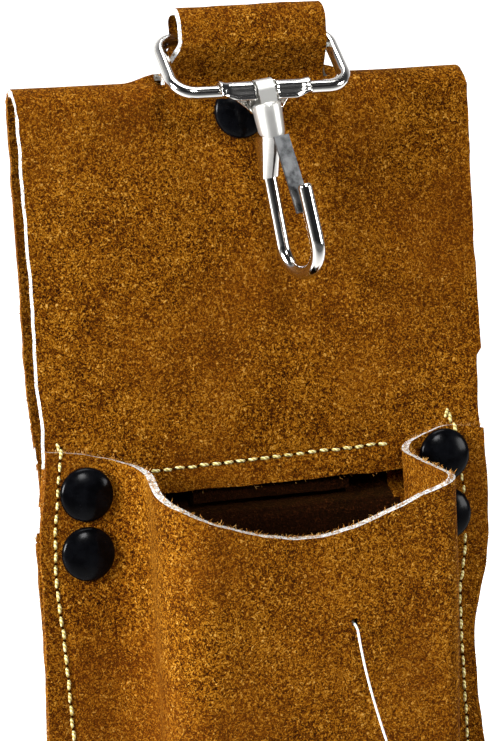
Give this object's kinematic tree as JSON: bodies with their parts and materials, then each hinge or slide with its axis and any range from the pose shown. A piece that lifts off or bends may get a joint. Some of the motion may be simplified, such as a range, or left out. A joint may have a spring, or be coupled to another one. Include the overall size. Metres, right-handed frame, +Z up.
{
  "type": "leather tool pouch",
  "caption": "Suede leather electrician's tool pouch with a belt tunnel, a scooped box pocket and a swivel snap hook on a ring.",
  "frame": {"origin": "centre of the belt tunnel, where a belt's centre line passes", "axes": "+Z up along the pouch, +X along the belt to the viewer's right, +Y towards the wearer"},
  "size_m": [0.105, 0.0418, 0.276],
  "materials": {
    "suede_leather": "napped suede, ochre brown",
    "black_enamel": "glossy black enamel",
    "burr_steel": "plain set steel",
    "waxed_thread": "pale yellow bonded thread",
    "bright_nickel": "bright nickel plate",
    "satin_nickel": "satin nickel plate",
    "spring_steel": "rolled spring steel",
    "tag_nylon": "natural nylon"
  },
  "bodies": {
    "pouch": {"back_panel": "suede_leather", "front_panel": "suede_leather", "hanger_strap": "suede_leather", "left_upper_rivet_cap": "black_enamel", "left_upper_rivet_burr": "burr_steel", "right_upper_rivet_cap": "black_enamel", "right_upper_rivet_burr": "burr_steel", "left_lower_rivet_cap": "black_enamel", "left_lower_rivet_burr": "burr_steel", "right_lower_rivet_cap": "black_enamel", "right_lower_rivet_burr": "burr_steel", "strap_rivet_cap": "black_enamel", "strap_rivet_burr": "burr_steel", "tunnel_stitching": "waxed_thread", "edge_stitching": "waxed_thread", "tag_t_bar": "tag_nylon", "tag_filament": "tag_nylon", "tag_paddle": "tag_nylon"},
    "ring": {"ring": "bright_nickel"},
    "yoke": {"yoke": "bright_nickel", "swivel_tongue": "bright_nickel", "ferrule": "satin_nickel"},
    "hook": {"swivel_stud": "bright_nickel", "hook_head": "bright_nickel", "hook_wire": "bright_nickel"},
    "gate": {"gate_spring": "spring_steel"}
  },
  "joints": [
    {"name": "ring_swing", "type": "hinge", "parent": "pouch", "child": "ring", "pos_m": [0, -0.0042, 0.051], "axis": [-1, 0, 0], "range_deg": [0, 110]},
    {"name": "yoke_pivot", "type": "hinge", "parent": "ring", "child": "yoke", "pos_m": [0, -0.01721, 0.0387], "axis": [-1, 0, 0], "range_deg": [0, 90]},
    {"name": "hook_swivel", "type": "hinge", "parent": "yoke", "child": "hook", "pos_m": [0, -0.01721, 0.0387], "axis": [-0.1305, 0, 0.9914], "continuous": true},
    {"name": "gate_open", "type": "hinge", "parent": "hook", "child": "gate", "pos_m": [0.00225, -0.02017, 0.02851], "axis": [0.9488, 0.2901, 0.1249], "range_deg": [0, 15], "stiffness_Nm_per_rad": 0.02}
  ]
}
